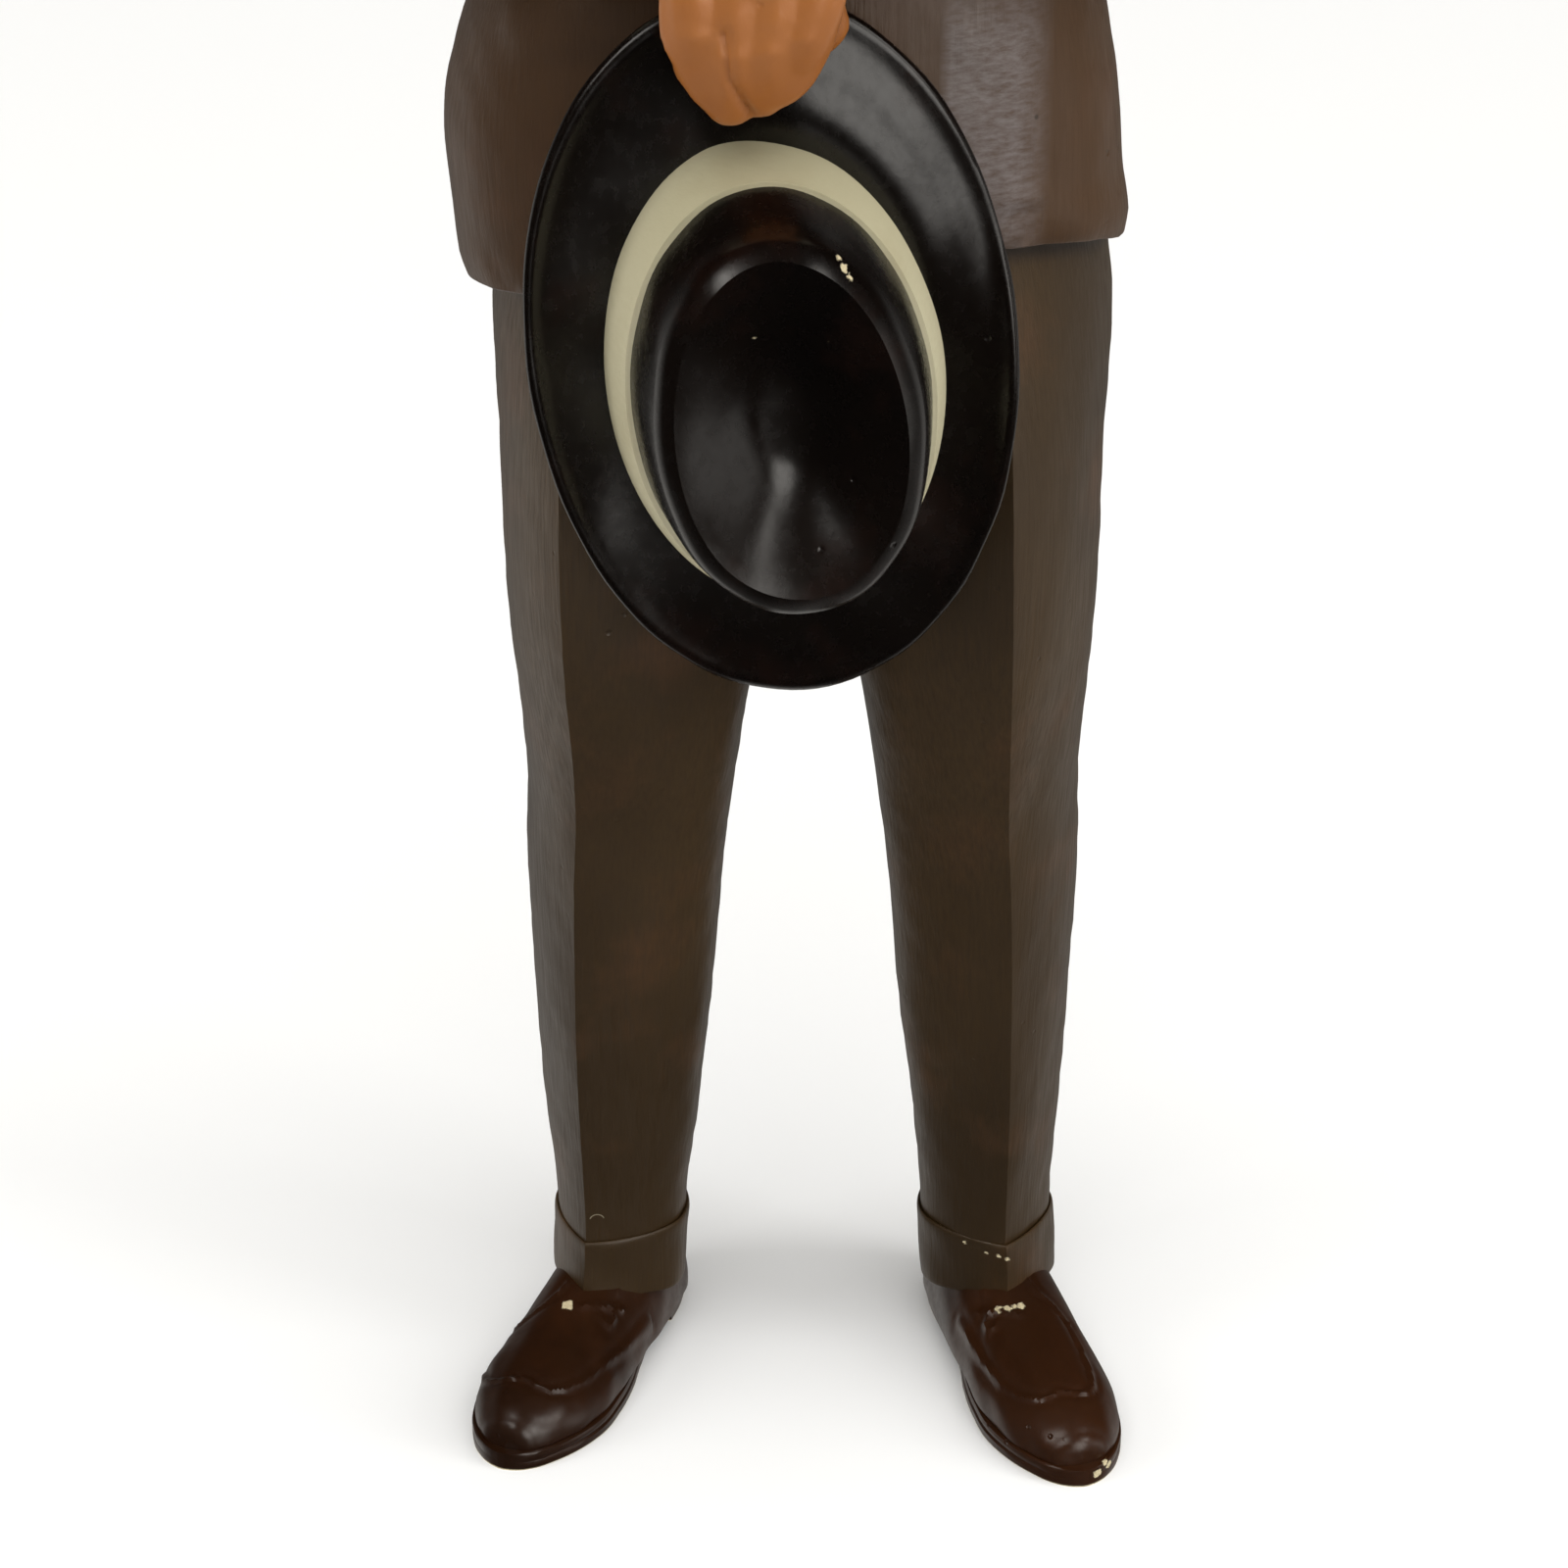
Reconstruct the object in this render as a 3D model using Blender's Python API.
"""Painted plaster display figure of a standing gentleman who holds his hat in front of him.

The figure is one casting: suit, shoes, hands, hat and head are modelled as closed forms and joined
by one Boolean. It faces -Y, its right side is -X, and it stands on z = 0, with its bounding box
centred over the origin. The free form keeps its pose and its proportions as shares of
FIGURE_HEIGHT, so a point written (0.08, 0, 0.3) lies 8% of the height to its left and 30% up.
"""

import math

import bmesh
import bpy
import numpy as np
from mathutils import Matrix

FIGURE_HEIGHT = 0.460

# Heights, as shares of the figure's height.
HEM_HEIGHT = 0.4950
HEM_SIDE_SLOPE = 0.064
HEM_FRONT_SLOPE = 0.070
HEM_REACH = 0.060
CUFF_TOP = 0.0620
CUFF_BOTTOM = 0.0285
CUFF_FRONT_RISE = 0.0055
CUFF_STEP = 0.0028
BUTTON_HEIGHT = 0.672

# How sharply the trousers are pressed, and how square the jacket is across.
FRONT_PRESS = 0.42
BACK_PRESS = 0.22
JACKET_SQUARENESS = 2.35

# Where the trousers and shoes point: degrees away from straight ahead.
CREASE_TURN = {"right": 24.0, "left": 12.0}
TOE_TURN = {"right": 21.5, "left": 15.0}
SIDE = {"right": -1.0, "left": 1.0}
LEG_EASE = {"right": 0.0034, "left": 0.0012}
LEG_SHIFT = {
    # The stance is not quite even: height, shift across.
    "right": [(0.03, -0.0004), (0.16, -0.0002), (0.25, 0.0006), (0.31, 0.0016), (0.52, 0.0020)],
    "left": [(0.03, 0.0040), (0.10, 0.0036), (0.20, 0.0026), (0.30, 0.0008), (0.36, -0.0004),
             (0.42, -0.0010), (0.52, -0.0016)],
}
ANKLE = {"right": (-0.0790, 0.0060), "left": (0.0835, 0.0040)}
FOOT_LENGTH = {"right": 0.97, "left": 1.01}

# The hat hangs with its crown facing forward.
HAT_CENTRE = (-0.0105, -0.0985, 0.4905)
HAT_ROLL = 7.0
HAT_TURN = 5.0
BRIM_HALF_WIDTH = 0.0833
BRIM_BACK_REACH = 0.1215
BRIM_FRONT_REACH = 0.1360
BRIM_THICKNESS = 0.0062
BRIM_SIDE_CURL = 0.0100
BRIM_BACK_CURL = 0.0060
BRIM_FRONT_DROP = 0.0070
CROWN_DROP = 0.0115
CROWN_HALF_WIDTH = 0.0568
CROWN_HALF_LENGTH = 0.0832
CROWN_HEIGHT = 0.0620
CROWN_DENT = 0.0170
CROWN_FRONT_LEAN = 0.32
DENT_VALLEY = 0.011
BAND_HEIGHT = 0.0248
BAND_STEP = 0.0013

COLOURS = {
    "painted_plaster": ((0.066, 0.045, 0.028, 1.0), 0.42),
}


def clear_scene():
    for obj in list(bpy.data.objects):
        bpy.data.objects.remove(obj)


def curve_through(at, stations):
    """Smooth values at the places `at`: each station is (place, value, value, ...)."""
    table = np.array(stations, float)
    place, values = table[:, 0], table[:, 1:]
    step = np.diff(place)
    rise = np.diff(values, axis=0) / step[:, None]
    slope = np.vstack([rise[:1], (rise[:-1] + rise[1:]) / 2, rise[-1:]])
    turn = np.vstack([np.zeros_like(rise[:1]), rise[:-1] * rise[1:], np.zeros_like(rise[:1])])
    slope[turn < 0] = 0.0
    at = np.clip(np.asarray(at, float), place[0], place[-1])
    i = np.clip(np.searchsorted(place, at, side="right") - 1, 0, len(step) - 1)
    h = step[i]
    u = (at - place[i]) / h
    h, u = h[..., None], u[..., None]
    return (
        (2 * u**3 - 3 * u**2 + 1) * values[i]
        + (u**3 - 2 * u**2 + u) * h * slope[i]
        + (3 * u**2 - 2 * u**3) * values[i + 1]
        + (u**3 - u**2) * h * slope[i + 1]
    )


def signed_power(value, power):
    return np.sign(value) * np.abs(value) ** power


def ease(value, low, high):
    u = np.clip((value - low) / (high - low), 0, 1)
    return u * u * (3 - 2 * u)


def bump(x, z, centre_x, centre_z, reach_x, reach_z):
    return np.exp(-(((x - centre_x) / reach_x) ** 2) - ((z - centre_z) / reach_z) ** 2)


def wrapped_form(name, around, along, shape):
    """A closed form: a grid is wrapped round it, and its two ends run into points or caps."""
    bm = bmesh.new()
    bmesh.ops.create_grid(bm, x_segments=around, y_segments=along, size=1.0)
    bm.verts.ensure_lookup_table()
    grid = np.array([v.co for v in bm.verts])
    points = shape((grid[:, 0] + 1) * math.pi, (grid[:, 1] + 1) / 2) * FIGURE_HEIGHT
    for vert, point in zip(bm.verts, points):
        vert.co = point
    bmesh.ops.remove_doubles(bm, verts=bm.verts, dist=0.00002)
    bmesh.ops.dissolve_degenerate(bm, edges=bm.edges, dist=0.00001)
    bmesh.ops.holes_fill(bm, edges=bm.edges, sides=0)
    bmesh.ops.recalc_face_normals(bm, faces=bm.faces)
    if bm.calc_volume(signed=True) < 0:
        bmesh.ops.reverse_faces(bm, faces=bm.faces)
    mesh = bpy.data.meshes.new(name)
    bm.to_mesh(mesh)
    bm.free()
    obj = bpy.data.objects.new(name, mesh)
    return obj


def column(*parts):
    return np.stack(np.broadcast_arrays(*parts), axis=-1)


def steps_at(share, places):
    """Maps 0 to 1 onto the listed places, one for each equal step, with straight runs between."""
    return np.interp(share, np.linspace(0, 1, len(places)), places)


def trouser_section(turn, angle, half_width, half_depth, side):
    """A pressed leg: a rounded section whose front and back run to a crease, turned outwards."""
    front = np.cos(angle) > 0
    press = np.where(front, FRONT_PRESS, BACK_PRESS)
    across = half_width * np.sin(angle)
    depth = -half_depth * (
        (1 - press) * np.cos(angle)
        + press * np.sign(np.cos(angle)) * (1 - np.abs(np.sin(angle)))
    )
    cos_turn, sin_turn = math.cos(math.radians(turn)), side * math.sin(math.radians(turn))
    return across * cos_turn - depth * sin_turn, depth * cos_turn + across * sin_turn


LEG = [
    # height, centre across, centre in depth, half width, half depth
    (0.045, 0.0772, 0.0060, 0.0285, 0.0318),
    (0.066, 0.0765, 0.0060, 0.0282, 0.0330),
    (0.085, 0.0760, 0.0065, 0.0285, 0.0345),
    (0.131, 0.0750, 0.0070, 0.0312, 0.0385),
    (0.160, 0.0742, 0.0065, 0.0338, 0.0410),
    (0.200, 0.0732, 0.0050, 0.0362, 0.0430),
    (0.244, 0.0715, 0.0010, 0.0380, 0.0440),
    (0.275, 0.0695, -0.0030, 0.0392, 0.0455),
    (0.306, 0.0680, -0.0070, 0.0420, 0.0500),
    (0.360, 0.0655, -0.0100, 0.0472, 0.0600),
    (0.420, 0.0630, -0.0070, 0.0505, 0.0650),
    (0.480, 0.0610, 0.0000, 0.0545, 0.0690),
    (0.520, 0.0570, 0.0000, 0.0525, 0.0660),
]
LEG_CAP = 0.0536


def leg(which):
    side, turn = SIDE[which], CREASE_TURN[which]

    def shape(angle, share):
        up = np.clip((share - LEG_CAP) / (1 - 2 * LEG_CAP), 0, 1)
        height = LEG[0][0] + (LEG[-1][0] - LEG[0][0]) * up
        centre_x, centre_y, half_width, half_depth = curve_through(height, LEG).T
        half_width = half_width + LEG_EASE[which] * ease(height, 0.06, 0.12)
        shift = curve_through(height, LEG_SHIFT[which])[..., 0]
        closing = np.clip(2 * np.minimum(share, 1 - share) / LEG_CAP, 0, 1)
        across, depth = trouser_section(
            turn, angle, half_width * closing, half_depth * closing, side
        )
        return column(side * centre_x + across + shift, centre_y + depth, height)

    return wrapped_form(which + "_leg", 16, 14, shape)


def cuff(which):
    side, turn = SIDE[which], CREASE_TURN[which]
    rings = [
        # swell beyond the leg, share of the cuff's height
        (-0.030, 0.35),
        (-0.004, 0.00),
        (CUFF_STEP * 0.75, 0.00),
        (CUFF_STEP, 0.10),
        (CUFF_STEP, 0.88),
        (CUFF_STEP * 0.55, 1.00),
        (-0.004, 1.00),
        (-0.030, 0.70),
    ]

    def shape(angle, share):
        swell = steps_at(share, [r[0] for r in rings])
        rise = steps_at(share, [r[1] for r in rings])
        front = np.clip(np.cos(angle), 0, 1) ** 2
        bottom = CUFF_BOTTOM + CUFF_FRONT_RISE * front
        height = bottom + (CUFF_TOP - bottom) * rise
        centre_x, centre_y, half_width, half_depth = curve_through(height, LEG).T
        across, depth = trouser_section(
            turn,
            angle,
            np.maximum(half_width + swell, 0),
            np.maximum(half_depth + swell, 0),
            side,
        )
        centre_x = centre_x + 0.04 * (CUFF_TOP - height)
        shift = curve_through(height, LEG_SHIFT[which])[..., 0]
        return column(side * centre_x + across + shift, centre_y + depth, height)

    return wrapped_form(which + "_cuff", 16, 7, shape)


def foot_point(which, forward, outward, height):
    """A point on a foot, measured from below the ankle: forward, outward and up."""
    side, turn = SIDE[which], math.radians(TOE_TURN[which])
    ankle_x, ankle_y = ANKLE[which]
    forward = forward * FOOT_LENGTH[which]
    return column(
        ankle_x + side * (forward * math.sin(turn) + outward * math.cos(turn)),
        ankle_y - forward * math.cos(turn) + outward * math.sin(turn),
        height,
    )


SHOE_UPPER = [
    # forward, inner half width, outer half width, top
    (-0.0385, 0.0000, 0.0000, 0.0300),
    (-0.0370, 0.0100, 0.0095, 0.0420),
    (-0.0300, 0.0195, 0.0180, 0.0480),
    (-0.0100, 0.0248, 0.0242, 0.0500),
    (0.0100, 0.0260, 0.0272, 0.0470),
    (0.0260, 0.0258, 0.0290, 0.0400),
    (0.0400, 0.0260, 0.0296, 0.0355),
    (0.0550, 0.0264, 0.0302, 0.0328),
    (0.0700, 0.0255, 0.0305, 0.0308),
    (0.0850, 0.0222, 0.0285, 0.0288),
    (0.0970, 0.0165, 0.0240, 0.0256),
    (0.1050, 0.0100, 0.0175, 0.0212),
    (0.1095, 0.0020, 0.0095, 0.0155),
    (0.1105, -0.0035, 0.0035, 0.0110),
]
UPPER_FOOT = 0.0060
UPPER_WAIST = 0.0095


def shoe_upper(which):
    """The upper is widest at its waist, just over the welt, and closes under the sole's top."""

    def shape(angle, share):
        forward = steps_at(share, [s[0] for s in SHOE_UPPER])
        inner, outer, top = curve_through(forward, SHOE_UPPER).T
        middle, half = (outer - inner) / 2, (outer + inner) / 2
        across = signed_power(np.cos(angle), 0.80)
        up = signed_power(np.sin(angle), 0.90)
        rise = np.where(up > 0, top - UPPER_WAIST, UPPER_WAIST - UPPER_FOOT)
        height = UPPER_WAIST + up * rise
        lean = 1 - 0.16 * np.clip(up, 0, 1) ** 2
        return foot_point(which, forward, middle + half * across * lean, height)

    return wrapped_form(which + "_shoe_upper", 16, len(SHOE_UPPER) - 1, shape)


SOLE = [
    # forward, inner half width, outer half width, underside, top
    (-0.0410, 0.0015, 0.0015, 0.0000, 0.0130),
    (-0.0385, 0.0095, 0.0095, 0.0000, 0.0130),
    (-0.0320, 0.0170, 0.0165, 0.0000, 0.0130),
    (-0.0200, 0.0212, 0.0205, 0.0000, 0.0128),
    (-0.0060, 0.0224, 0.0222, 0.0000, 0.0122),
    (-0.0050, 0.0224, 0.0222, 0.0045, 0.0121),
    (0.0120, 0.0212, 0.0225, 0.0042, 0.0108),
    (0.0290, 0.0226, 0.0248, 0.0000, 0.0092),
    (0.0440, 0.0256, 0.0282, 0.0000, 0.0085),
    (0.0600, 0.0270, 0.0302, 0.0000, 0.0085),
    (0.0750, 0.0264, 0.0308, 0.0000, 0.0085),
    (0.0900, 0.0215, 0.0282, 0.0000, 0.0085),
    (0.1010, 0.0150, 0.0232, 0.0000, 0.0085),
    (0.1090, 0.0080, 0.0165, 0.0000, 0.0085),
    (0.1130, 0.0010, 0.0095, 0.0000, 0.0085),
    (0.1140, -0.0030, 0.0055, 0.0000, 0.0085),
]


def sole(which):
    """Heel, waist and welt in one: square-edged, and flat on the ground but for the arch."""
    corners = [(-1, 0), (0, 0), (1, 0), (1, 0.7), (0.93, 1), (0, 1), (-0.93, 1), (-1, 0.7), (-1, 0)]

    def shape(angle, share):
        forward = steps_at(share, [s[0] for s in SOLE])
        values = [steps_at(share, [s[i] for s in SOLE]) for i in range(1, 5)]
        inner, outer, under, top = values
        place = angle / (2 * math.pi)
        across = steps_at(place, [c[0] for c in corners])
        up = steps_at(place, [c[1] for c in corners])
        outward = (outer - inner) / 2 + (outer + inner) / 2 * across
        return foot_point(which, forward, outward, under + (top - under) * up)

    return wrapped_form(which + "_sole", len(corners) - 1, len(SOLE) - 1, shape)


PELVIS = [
    # height, half width, half depth
    (0.418, 0.0000, 0.0000),
    (0.424, 0.0260, 0.0330),
    (0.436, 0.0520, 0.0480),
    (0.455, 0.0820, 0.0600),
    (0.480, 0.1000, 0.0680),
    (0.510, 0.1050, 0.0690),
    (0.515, 0.0000, 0.0000),
]


def pelvis():
    def shape(angle, share):
        height, half_width, half_depth = [
            steps_at(share, [p[i] for p in PELVIS]) for i in range(3)
        ]
        return column(half_width * np.sin(angle), -half_depth * np.cos(angle), height)

    return wrapped_form("pelvis", 20, len(PELVIS) - 1, shape)


JACKET = [
    # height, centre across, half width, front, back
    (HEM_HEIGHT, -0.0026, 0.1200, 0.0725, 0.0795),
    (0.5030, -0.0032, 0.1216, 0.0735, 0.0804),
    (0.5220, -0.0056, 0.1209, 0.0748, 0.0810),
    (0.5500, -0.0072, 0.1200, 0.0757, 0.0792),
    (0.5800, -0.0060, 0.1135, 0.0758, 0.0735),
    (0.6100, -0.0040, 0.1040, 0.0748, 0.0655),
    (0.6450, -0.0020, 0.0965, 0.0738, 0.0598),
    (0.6800, 0.0000, 0.0960, 0.0768, 0.0606),
    (0.7200, 0.0000, 0.0990, 0.0810, 0.0652),
    (0.7550, 0.0000, 0.1010, 0.0815, 0.0675),
    (0.7780, 0.0000, 0.1005, 0.0770, 0.0664),
    (0.7960, 0.0000, 0.0965, 0.0685, 0.0630),
    (0.8110, 0.0000, 0.0865, 0.0575, 0.0578),
    (0.8250, 0.0000, 0.0690, 0.0465, 0.0516),
    (0.8370, 0.0000, 0.0530, 0.0395, 0.0465),
    (0.8500, 0.0000, 0.0420, 0.0345, 0.0420),
]


def jacket_surface(angle, height, swell=0.0):
    """The jacket's outline at a height: angle 0 is the front, and pi/2 its left side."""
    centre, half_width, front, back = curve_through(height, JACKET).T
    ahead = np.cos(angle) > 0
    depth = np.where(ahead, front, back)
    power = 2 / JACKET_SQUARENESS
    x = centre + (half_width + swell) * signed_power(np.sin(angle), power)
    y = -(depth + swell) * signed_power(np.cos(angle), power)
    return x, y


def jacket():
    heights = [HEM_HEIGHT] + [j[0] for j in JACKET] + [JACKET[-1][0]]
    sizes = [0.0] + [1.0] * len(JACKET) + [0.0]

    def shape(angle, share):
        height = steps_at(share, heights)
        size = steps_at(share, sizes)
        x, y = jacket_surface(angle, height)
        hem = 1 - ease(height, HEM_HEIGHT, HEM_HEIGHT + HEM_REACH)
        slope = HEM_SIDE_SLOPE * x - HEM_FRONT_SLOPE * y
        return column(x * size, y * size, height + hem * slope * size)

    return wrapped_form("jacket", 28, len(heights) - 1, shape)


def swept_form(
    name, around, along, points, radii, flat=1.0, reference=(0, 0, 1), round_ends=(0.8, 0.8)
):
    """A round or flattened limb swept along a smooth path, with rounded ends."""
    path = [(i / (len(points) - 1), *p) for i, p in enumerate(points)]
    sizes = [(i / (len(radii) - 1), r) for i, r in enumerate(radii)]
    run = list(np.linspace(0, 1, along))
    place = [0, 0] + run + [1, 1]
    size = [0, 0.66] + [1] * along + [0.66, 0]
    first, last = round_ends
    poke = [-first, -0.75 * first] + [0] * along + [0.75 * last, last]

    def shape(angle, share):
        inner = steps_at(share, place)
        centre = curve_through(inner, path)
        tangent = curve_through(inner + 0.01, path) - curve_through(inner - 0.01, path)
        tangent /= np.linalg.norm(tangent, axis=1)[:, None]
        radius = curve_through(inner, sizes)[:, 0]
        side_axis = np.cross(tangent, np.array(reference, float))
        side_axis /= np.linalg.norm(side_axis, axis=1)[:, None]
        up_axis = np.cross(side_axis, tangent)
        wide = radius * steps_at(share, size)
        ring = (
            side_axis * (np.cos(angle) * wide * flat)[:, None]
            + up_axis * (np.sin(angle) * wide)[:, None]
        )
        end = radius * min(flat, 1.0) * steps_at(share, poke)
        return centre + ring + tangent * end[:, None]

    return wrapped_form(name, around, len(place) - 1, shape)


UPPER_ARM = [
    # across, depth, height, radius: from inside the shoulder down to the elbow
    (0.072, 0.004, 0.776, 0.0280),
    (0.095, 0.004, 0.768, 0.0310),
    (0.109, 0.006, 0.744, 0.0318),
    (0.115, 0.009, 0.710, 0.0310),
    (0.117, 0.005, 0.674, 0.0300),
]
FOREARM = {
    # The same, from the elbow in to the wrist at the front.
    "right": [
        (-0.1165, 0.003, 0.672, 0.0292),
        (-0.1120, -0.018, 0.653, 0.0290),
        (-0.1000, -0.044, 0.641, 0.0276),
        (-0.0840, -0.070, 0.636, 0.0258),
        (-0.0680, -0.090, 0.634, 0.0242),
    ],
    "left": [
        (0.1165, 0.003, 0.672, 0.0292),
        (0.1120, -0.018, 0.656, 0.0290),
        (0.0980, -0.050, 0.648, 0.0276),
        (0.0770, -0.080, 0.646, 0.0258),
        (0.0520, -0.103, 0.648, 0.0242),
    ],
}
WRIST = {"right": (-0.050, -0.1010, 0.6320), "left": (0.0300, -0.1160, 0.6480)}
PALM = {
    "right": [
        (-0.050, -0.1005, 0.6320, 0.0160),
        (-0.036, -0.1020, 0.6280, 0.0195),
        (-0.020, -0.1010, 0.6200, 0.0215),
        (-0.008, -0.0990, 0.6080, 0.0205),
        (0.002, -0.0950, 0.5940, 0.0150),
    ],
    "left": [
        (0.0300, -0.1155, 0.6480, 0.0155),
        (0.0160, -0.1200, 0.6440, 0.0185),
        (0.0020, -0.1225, 0.6360, 0.0215),
        (-0.0110, -0.1210, 0.6250, 0.0235),
        (-0.0180, -0.1160, 0.6130, 0.0225),
    ],
}
PALM_THICKNESS = 0.58
KNUCKLE = (-0.0140, -0.1215, 0.6220)
FINGERS = [
    # offset of the knuckle across, offset of the tip across, tip height, thickness
    (-0.0195, -0.0215, 0.5825, 0.0074),
    (-0.0062, -0.0090, 0.5735, 0.0080),
    (0.0066, 0.0035, 0.5785, 0.0078),
    (0.0185, 0.0145, 0.5880, 0.0070),
]


def limb(name, around, along, stations, **shape):
    points = [p[:3] for p in stations]
    return swept_form(name, around, along, points, [p[3] for p in stations], **shape)


def upper_sleeve(which):
    stations = [(SIDE[which] * x, y, z, r) for x, y, z, r in UPPER_ARM]
    return limb(which + "_upper_sleeve", 14, 6, stations, reference=(0.1, 1, 0.2))


def lower_sleeve(which):
    return limb(
        which + "_lower_sleeve", 14, 5, FOREARM[which], reference=(0, 0.2, 1), round_ends=(0.8, 0.15)
    )


def shirt_cuff(which):
    start, end = np.array(FOREARM[which][-1][:3]), np.array(WRIST[which])
    points = [tuple(start + (end - start) * k) for k in (-0.6, 0.2, 0.9)]
    return swept_form(
        which + "_shirt_cuff", 12, 2, points, [0.0205, 0.0205, 0.0205], round_ends=(0.1, 0.1)
    )


def palm(which):
    return limb(
        which + "_palm", 12, 5, PALM[which], flat=PALM_THICKNESS, reference=(0, -0.35, 1)
    )


def finger(number):
    """A finger of the left hand, bent over the brim and laid down its front."""
    root, tip, tip_height, radius = FINGERS[number]
    middle_height = (KNUCKLE[2] + tip_height) / 2
    points = [
        (KNUCKLE[0] + root, KNUCKLE[1] + 0.004, KNUCKLE[2] + 0.0060),
        (KNUCKLE[0] + root * 0.95 + tip * 0.05, KNUCKLE[1] - 0.0025, KNUCKLE[2] - 0.0050),
        (KNUCKLE[0] + (root + tip) / 2, KNUCKLE[1] - 0.0030, middle_height),
        (KNUCKLE[0] + tip, KNUCKLE[1] + 0.0030, tip_height + radius * 0.5),
    ]
    radii = [radius, radius * 1.05, radius, radius * 0.80]
    return swept_form(
        "finger_" + str(number + 1), 8, 4, points, radii, flat=1.12, reference=(0, 1, 0.2)
    )


def hat_point(across, along, out):
    """A point on the hat: across it, up its long axis, and out towards the crown."""
    roll, turn = math.radians(HAT_ROLL), math.radians(HAT_TURN)
    x = across * math.cos(roll) - along * math.sin(roll)
    z = across * math.sin(roll) + along * math.cos(roll)
    return column(
        HAT_CENTRE[0] + x * math.cos(turn) + out * math.sin(turn),
        HAT_CENTRE[1] + x * math.sin(turn) - out * math.cos(turn),
        HAT_CENTRE[2] + z,
    )


def brim_outline(angle, reach=1.0):
    """Angle 0 is the hat's left edge in the picture plane, and pi/2 the end under the hands."""
    up = np.sin(angle) > 0
    power = np.where(up, 2 / 2.06, 1.0)
    across = BRIM_HALF_WIDTH * signed_power(np.cos(angle), power)
    along = np.where(up, BRIM_BACK_REACH, BRIM_FRONT_REACH) * signed_power(np.sin(angle), power)
    return across * reach, along * reach


def brim_lift(angle, reach):
    """How far the brim is curled towards the crown, or dropped away from it."""
    edge = np.clip((reach - 0.62) / 0.38, 0, 1) ** 2
    up, down = np.clip(np.sin(angle), 0, 1) ** 2, np.clip(-np.sin(angle), 0, 1) ** 3
    flank = np.cos(angle) ** 2
    return edge * (BRIM_SIDE_CURL * flank + BRIM_BACK_CURL * up - BRIM_FRONT_DROP * down)


def brim():
    rings = [(0.0, 1.0), (0.60, 1.0), (0.74, 1.0), (0.87, 1.0), (0.965, 1.0), (0.995, 0.75)]
    rings += [(0.995, 0.25), (0.965, 0.0), (0.87, 0.0), (0.60, 0.0), (0.0, 0.0)]

    def shape(angle, share):
        reach = steps_at(share, [r[0] for r in rings])
        face = steps_at(share, [r[1] for r in rings])
        across, along = brim_outline(angle, reach)
        out = brim_lift(angle, reach) + (face - 1) * BRIM_THICKNESS
        return hat_point(across, along, out)

    return wrapped_form("brim", 32, len(rings) - 1, shape)


CROWN = [
    # share of the crown's height, shrink of the half width, shrink of the half length
    (0.000, 0.0000, 0.0000),
    (0.400, 0.0066, 0.0084),
    (0.677, 0.0096, 0.0118),
    (0.855, 0.0120, 0.0142),
    (0.952, 0.0146, 0.0168),
    (1.000, 0.0190, 0.0212),
]


def crown_ring(angle, height, swell=0.0):
    shrink_width, shrink_length = curve_through(height / CROWN_HEIGHT, CROWN).T
    shrink_length = shrink_length * (1 + CROWN_FRONT_LEAN * np.clip(-np.sin(angle), 0, 1))
    across = (CROWN_HALF_WIDTH - shrink_width + swell) * np.cos(angle)
    along = (CROWN_HALF_LENGTH - shrink_length + swell) * np.sin(angle)
    return across, along - CROWN_DROP


def crown_dent(across, inward):
    """The bowl pressed into the crown, from its rim inward, with a soft valley along it."""
    inward = np.clip(inward / 0.8, 0, 1)
    bowl = 0.5 * ease(inward, 0, 1) + 0.5 * (1 - (1 - inward) ** 2)
    return CROWN_DENT * bowl * (0.82 + 0.30 * np.exp(-((across / DENT_VALLEY) ** 2)))


def crown():
    walls = [-0.065, 0.0, 0.2, 0.4, 0.58, 0.76, 0.89, 0.97, 1.0]
    tops = [0.88, 0.70, 0.50, 0.28, 0.0]
    place = [CROWN_HEIGHT * k for k in walls[:1] + walls + [1.0] * len(tops)]
    size = [0.0] + [1.0] * len(walls) + tops

    def shape(angle, share):
        height = steps_at(share, place)
        shrink = steps_at(share, size)
        across, along = crown_ring(angle, np.clip(height, 0, CROWN_HEIGHT))
        along = (along + CROWN_DROP) * shrink - CROWN_DROP
        across = across * shrink
        on_top = height > CROWN_HEIGHT * 0.999
        return hat_point(across, along, height - on_top * crown_dent(across, 1 - shrink))

    return wrapped_form("crown", 28, len(place) - 1, shape)


def hat_band():
    rings = [(-0.020, 0.002), (0.0, -0.003), (BAND_STEP, 0.0), (BAND_STEP, BAND_HEIGHT - 0.001)]
    rings += [(0.0006, BAND_HEIGHT), (-0.020, BAND_HEIGHT - 0.002)]

    def shape(angle, share):
        swell = steps_at(share, [r[0] for r in rings])
        height = steps_at(share, [r[1] for r in rings])
        across, along = crown_ring(angle, np.clip(height, 0, CROWN_HEIGHT), swell)
        return hat_point(across, along, height)

    return wrapped_form("hat_band", 30, len(rings) - 1, shape)


def hat_backing():
    """Plaster left between the brim and the body, so that the hat has no undercut."""

    def shape(angle, share):
        reach = steps_at(share, [0.0, 0.80, 0.84, 0.84, 0.0])
        out = steps_at(share, [-0.060, -0.058, -0.030, -0.003, -0.003])
        across, along = brim_outline(angle, reach)
        along = np.where(along < 0, along * 0.72, along * 0.90)
        return hat_point(across, along, out)

    return wrapped_form("hat_backing", 28, 4, shape)


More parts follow.
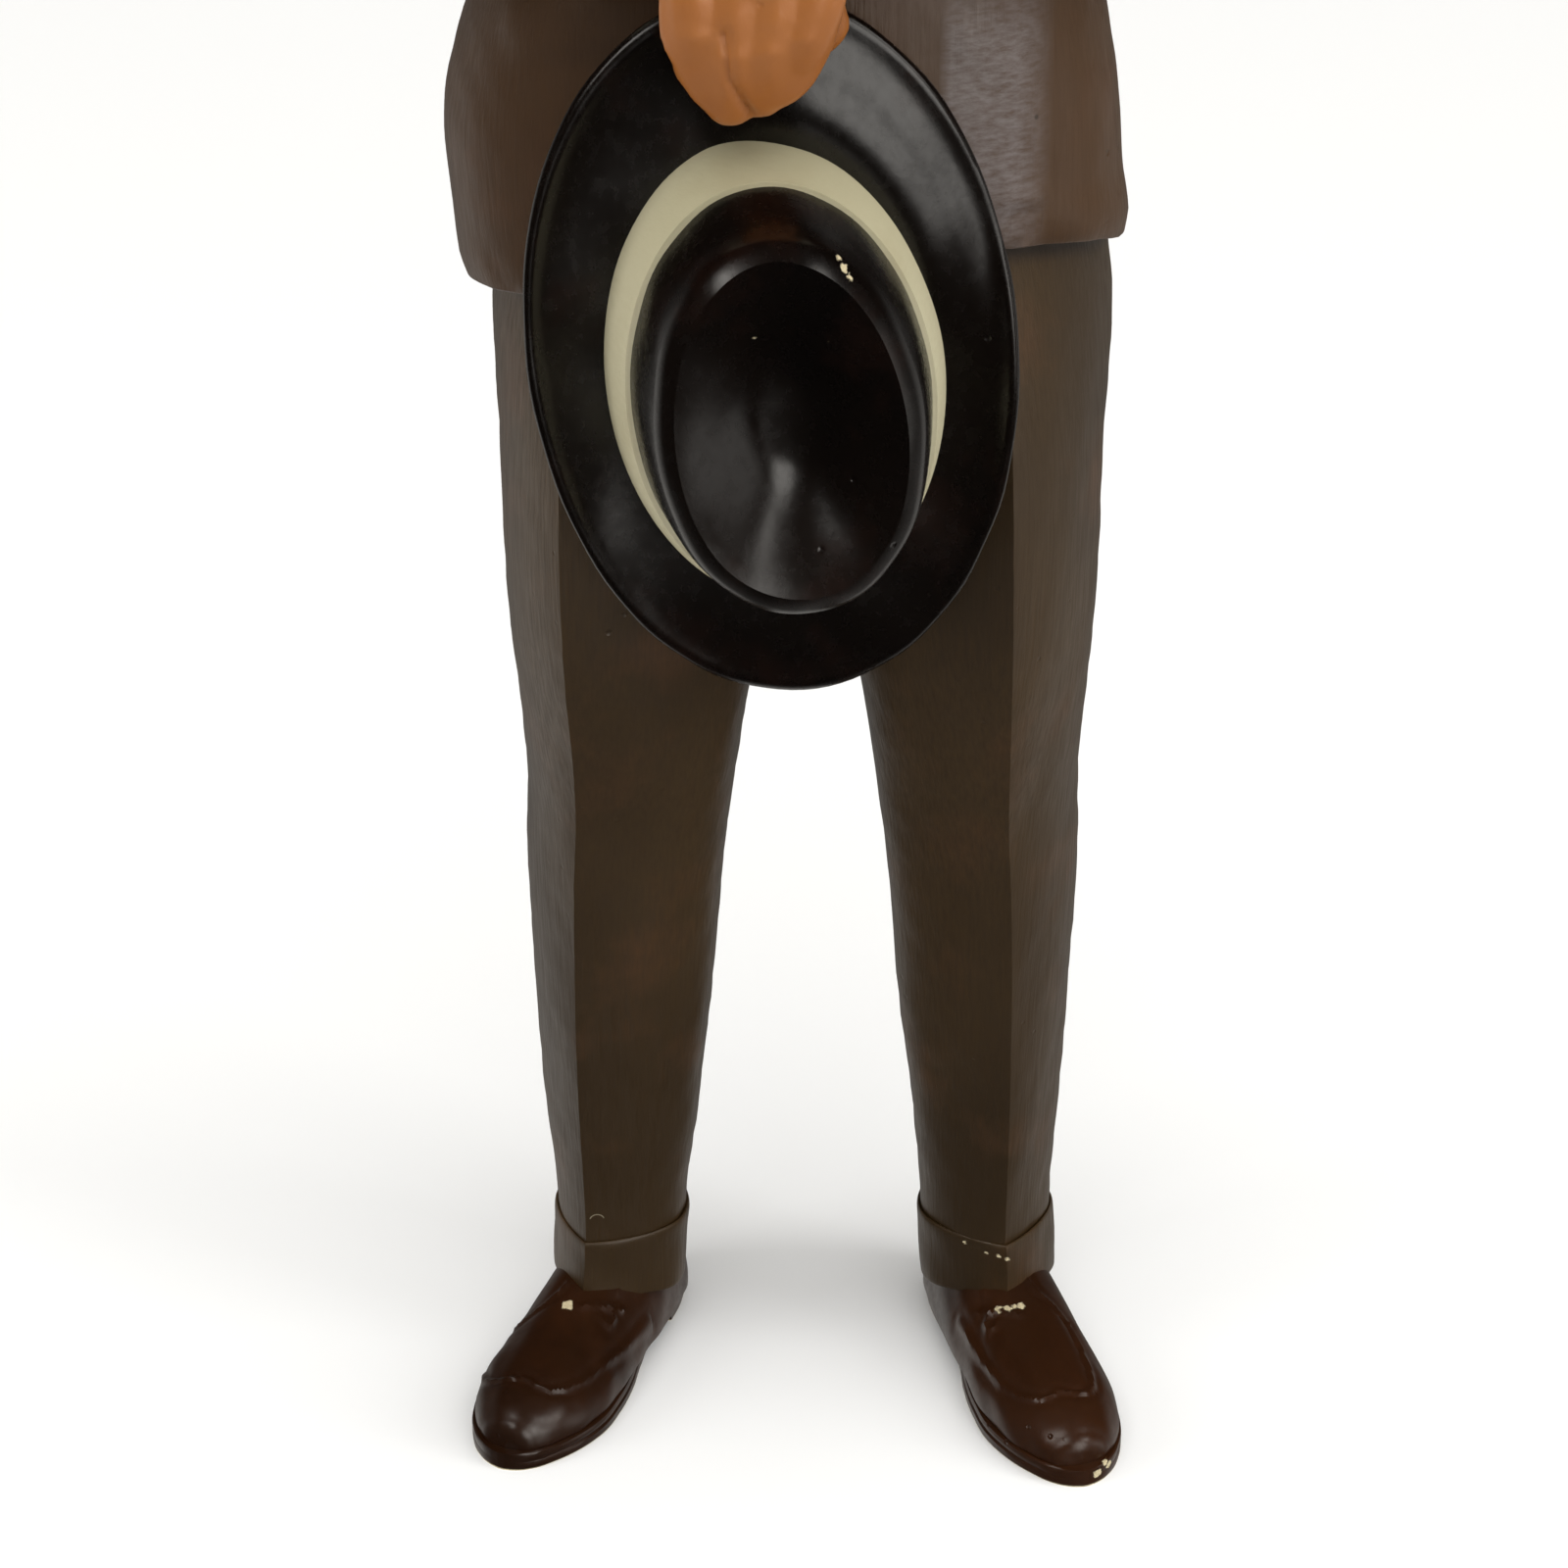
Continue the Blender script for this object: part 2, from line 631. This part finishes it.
HEAD = [
    # height, half width, front, back
    (0.8725, 0.0090, 0.0500, -0.0300),
    (0.8760, 0.0170, 0.0540, -0.0200),
    (0.8820, 0.0238, 0.0560, -0.0080),
    (0.8900, 0.0295, 0.0562, 0.0070),
    (0.9000, 0.0338, 0.0555, 0.0260),
    (0.9150, 0.0374, 0.0552, 0.0400),
    (0.9300, 0.0396, 0.0552, 0.0462),
    (0.9450, 0.0410, 0.0558, 0.0485),
    (0.9600, 0.0404, 0.0540, 0.0472),
    (0.9730, 0.0368, 0.0475, 0.0422),
    (0.9830, 0.0298, 0.0375, 0.0335),
    (0.9900, 0.0204, 0.0255, 0.0230),
    (0.9945, 0.0092, 0.0115, 0.0100),
]
HEAD_SHIFT = -0.0030


def face_relief(x, z):
    """How far the face stands out from the plain head: brow, nose, lips, chin and eye sockets."""
    nose_line = curve_through(
        z,
        [
            (0.9030, 0.0000),
            (0.9070, 0.0020),
            (0.9098, 0.0075),
            (0.9140, 0.0115),
            (0.9200, 0.0108),
            (0.9300, 0.0068),
            (0.9400, 0.0035),
            (0.9480, 0.0015),
            (0.9560, 0.0000),
        ],
    )[..., 0]
    nose_width = 0.0042 + 0.0026 * ease(-z, -0.9250, -0.9120)
    nose = nose_line * np.exp(-((np.abs(x) / nose_width) ** 2.2))
    wings = 0.0042 * bump(np.abs(x), z, 0.0060, 0.9118, 0.0028, 0.0034)
    sockets = -0.0046 * bump(np.abs(x), z, 0.0165, 0.9370, 0.0080, 0.0062)
    eyeballs = 0.0034 * bump(np.abs(x), z, 0.0170, 0.9358, 0.0052, 0.0040)
    brow = 0.0020 * bump(np.abs(x), z, 0.0150, 0.9485, 0.0110, 0.0032)
    cheeks = 0.0018 * bump(np.abs(x), z, 0.0215, 0.9170, 0.0090, 0.0080)
    lips = 0.0022 * bump(x, z, 0, 0.8985, 0.0110, 0.0045)
    parting = -0.0010 * bump(x, z, 0, 0.8982, 0.0095, 0.0012)
    crease = -0.0014 * bump(x, z, 0, 0.8902, 0.0100, 0.0025)
    chin = 0.0018 * bump(x, z, 0, 0.8815, 0.0110, 0.0050)
    return nose + wings + sockets + eyeballs + brow + cheeks + lips + parting + crease + chin


def head_surface(angle, height, swell=0.0):
    """Angle 0 is the back of the head, and pi the face."""
    half_width, front, back = curve_through(height, HEAD).T
    ahead = np.cos(angle) < 0
    depth = np.where(ahead, front, back)
    x = (half_width + swell) * signed_power(np.sin(angle), 0.93)
    y = (depth + swell * np.sign(back + 1)) * signed_power(np.cos(angle), 0.93)
    return x, y + HEAD_SHIFT


def head():
    heights = [HEAD[0][0] - 0.0012] + list(np.linspace(0.8740, 0.9540, 17))
    heights += [0.9680, 0.9800, 0.9885, 0.9945]
    sizes = [0.0] + [1.0] * (len(heights) - 2) + [0.0]

    def shape(angle, share):
        angle = angle + 0.50 * np.sin(angle)
        height = steps_at(share, heights)
        size = steps_at(share, sizes)
        x, y = head_surface(angle, height)
        ahead = ease(-np.cos(angle), 0.05, 0.60)
        _, front, back = curve_through(height, HEAD).T
        middle = (back - front) / 2 + HEAD_SHIFT
        x, y = x * size, middle + (y - middle) * size
        return column(x, y - ahead * face_relief(x, height) * size, height)

    return wrapped_form("head", 28, len(heights) - 1, shape)


HAIRLINE = [
    # turn from the face, lowest height of the hair
    (0.00, 0.9750),
    (0.45, 0.9735),
    (0.80, 0.9640),
    (1.05, 0.9500),
    (1.25, 0.9290),
    (1.42, 0.9290),
    (1.60, 0.9480),
    (1.85, 0.9350),
    (2.10, 0.9080),
    (2.60, 0.8960),
    (math.pi, 0.8940),
]


def hair():
    """A combed cap of hair with a side parting, closed inside the head."""
    rows = [0.02, 0.0, 0.14, 0.32, 0.50, 0.68, 0.82, 0.93, 1.0]
    swells = [-0.006, 0.0016, 0.0034, 0.0040, 0.0042, 0.0044, 0.0044, 0.0042, 0.0040]
    top = HEAD[-1][0]

    def shape(angle, share):
        row = steps_at(share, [-0.1] + rows)
        swell = steps_at(share, [-0.006] + swells)
        turn = np.abs(np.mod(angle, 2 * math.pi) - math.pi)
        line = curve_through(turn, HAIRLINE)[:, 0]
        height = line + (top - line) * np.clip(row, 0, 1)
        x, y = head_surface(angle, height, swell)
        closed = ((row > -0.05) & (row < 0.999)).astype(float)
        middle = -0.004
        quiff = closed * 0.0030 * bump(turn, height, 0.3, 0.985, 0.7, 0.012)
        lift = 0.0040 * ease(height, 0.965, top)
        height = np.where(row < -0.05, 0.950, height + lift + quiff * 0.6)
        return column(x * closed, middle + (y - middle - quiff) * closed, height)

    return wrapped_form("hair", 26, len(rows), shape)


def ear(which):
    side = SIDE[which]

    def shape(angle, share):
        along = -np.cos(share * math.pi)
        size = np.sin(share * math.pi)
        upright = 0.0150 * along
        wide = size * (0.0078 + 0.0018 * along)
        depth = 0.0040 + wide * np.cos(angle) - upright * 0.16
        thick = size * 0.0036 * np.sin(angle)
        out = 0.0405 + thick + 0.28 * (wide * np.cos(angle) + 0.004)
        return column(side * out, depth, 0.9280 + upright)

    return wrapped_form(which + "_ear", 10, 6, shape)


def neck():
    points = [(0, 0.012, 0.820), (0, 0.009, 0.850), (0, 0.003, 0.880), (0, 0.000, 0.905)]
    radii = [0.036, 0.031, 0.0285, 0.0270]
    return swept_form("neck", 18, 3, points, radii, reference=(0, 1, 0), round_ends=(0.2, 0.2))


def shirt_collar():
    """A turned-down collar round the neck; its two points part over the knot of the tie."""
    rings = [(0.030, 0), (0.030, 1), (0.0335, 1.12), (0.0365, 1), (0.0425, 0), (0.030, 0)]

    def shape(angle, share):
        radius = steps_at(share, [r[0] for r in rings])
        rise = steps_at(share, [r[1] for r in rings])
        front = np.clip(-np.cos(angle), 0, 1)
        point = bump(np.abs(np.sin(angle)), 0, 0.46, 0, 0.26, 1) * (front > 0.3)
        low = 0.8480 - 0.0090 * front - 0.0150 * point
        high = 0.8680 - 0.0120 * front**2
        middle = 0.0060 - 0.0060 * front
        spread = 1.0 + 0.18 * front * (1 - rise)
        return column(
            radius * np.sin(angle),
            middle + radius * spread * 1.02 * np.cos(angle),
            low + (high - low) * rise,
        )

    return wrapped_form("shirt_collar", 24, len(rings) - 1, shape)


OPENING = [
    # height, how far the jacket's opening lies from the middle: a V that closes at the button
    (BUTTON_HEIGHT - 0.012, 0.0000),
    (BUTTON_HEIGHT, 0.0015),
    (0.740, 0.0160),
    (0.800, 0.0275),
    (0.846, 0.0330),
]
LAPEL_WIDTH = [
    # height, width of the lapel, with its notch near the top
    (BUTTON_HEIGHT - 0.008, 0.0030),
    (0.700, 0.0180),
    (0.750, 0.0360),
    (0.786, 0.0460),
    (0.792, 0.0300),
    (0.842, 0.0170),
]
NECKTIE_WIDTH = [
    # height, half width: a blade that narrows up to the knot
    (0.660, 0.0110),
    (0.780, 0.0085),
    (0.826, 0.0050),
    (0.830, 0.0072),
    (0.846, 0.0085),
]
LAPEL_THICKNESS = 0.0034
NECKTIE_THICKNESS = 0.0030


def lapel_edge(height):
    return curve_through(height, OPENING)[..., 0]


def chest_front(x, height):
    """How far the jacket's front lies ahead of the axis at a place across and up it."""
    centre, half_width, front, _ = curve_through(height, JACKET).T
    ratio = np.clip(np.abs(x - centre) / half_width, 0, 0.999)
    return front * (1 - ratio**JACKET_SQUARENESS) ** (1 / JACKET_SQUARENESS)


def chest_plate(name, outline, thickness, rows):
    """A flat piece laid on the chest: outline gives its two edges across, for each height."""

    def shape(angle, share):
        place = angle / (2 * math.pi)
        across = steps_at(place, [0, 0.25, 0.5, 0.75, 1, 1, 0.75, 0.5, 0.25, 0, 0])
        top = steps_at(place, [1, 1, 1, 1, 1, -1, -1, -1, -1, -1, 1])
        low, high = rows
        height = low + (high - low) * share
        left, right = outline(height)
        x = left + (right - left) * across
        y = -chest_front(x, height) - np.where(top > 0, thickness, -0.012)
        return column(x, y, height)

    return wrapped_form(name, 10, 6, shape)


def lapel(which):
    side = SIDE[which]

    def outline(height):
        inner = lapel_edge(height)
        width = curve_through(height, LAPEL_WIDTH)[..., 0]
        return side * inner, side * (inner + width)

    rows = (LAPEL_WIDTH[0][0], LAPEL_WIDTH[-1][0])
    return chest_plate(which + "_lapel", outline, LAPEL_THICKNESS, rows)


def necktie():
    """The blade shows only in the jacket's opening, tucked under the lapels' edges."""

    def outline(height):
        half = curve_through(height, NECKTIE_WIDTH)[..., 0]
        half = np.minimum(half, lapel_edge(height) + 0.0020)
        return -half, half

    rows = (BUTTON_HEIGHT + 0.018, NECKTIE_WIDTH[-1][0])
    return chest_plate("necktie", outline, NECKTIE_THICKNESS, rows)


def plaster():
    material = bpy.data.materials.new("painted_plaster")
    material.use_nodes = True
    colour, roughness = COLOURS["painted_plaster"]
    shader = material.node_tree.nodes["Principled BSDF"]
    shader.inputs["Base Color"].default_value = colour
    shader.inputs["Roughness"].default_value = roughness
    return material


def centre_over_origin(forms):
    """Moves all the forms sideways together, so that their common box is centred over the origin."""
    places = np.array([v.co for form in forms for v in form.data.vertices])
    middle = (places.min(axis=0) + places.max(axis=0)) / 2
    for form in forms:
        form.data.transform(Matrix.Translation((-middle[0], -middle[1], 0)))


def main():
    clear_scene()
    forms = [pelvis(), brim(), crown(), hat_band(), hat_backing(), neck(), head(), hair(), necktie()]
    forms += [shirt_collar()]
    for which in SIDE:
        forms += [leg(which), cuff(which), shoe_upper(which), sole(which)]
        forms += [upper_sleeve(which), lower_sleeve(which), shirt_cuff(which), palm(which)]
        forms += [ear(which), lapel(which)]
    forms += [finger(number) for number in range(len(FINGERS))]
    moulds = bpy.data.collections.new("moulds")
    bpy.context.scene.collection.children.link(moulds)
    for form in forms:
        form.hide_render = True
        form.display_type = "WIRE"
        moulds.objects.link(form)
    figure = jacket()
    figure.name = "display_figure"
    figure.data.materials.append(plaster())
    bpy.context.scene.collection.objects.link(figure)
    centre_over_origin([figure] + forms)
    cast = figure.modifiers.new("cast_in_one", "BOOLEAN")
    cast.operation = "UNION"
    cast.solver = "EXACT"
    cast.operand_type = "COLLECTION"
    cast.collection = moulds


main()
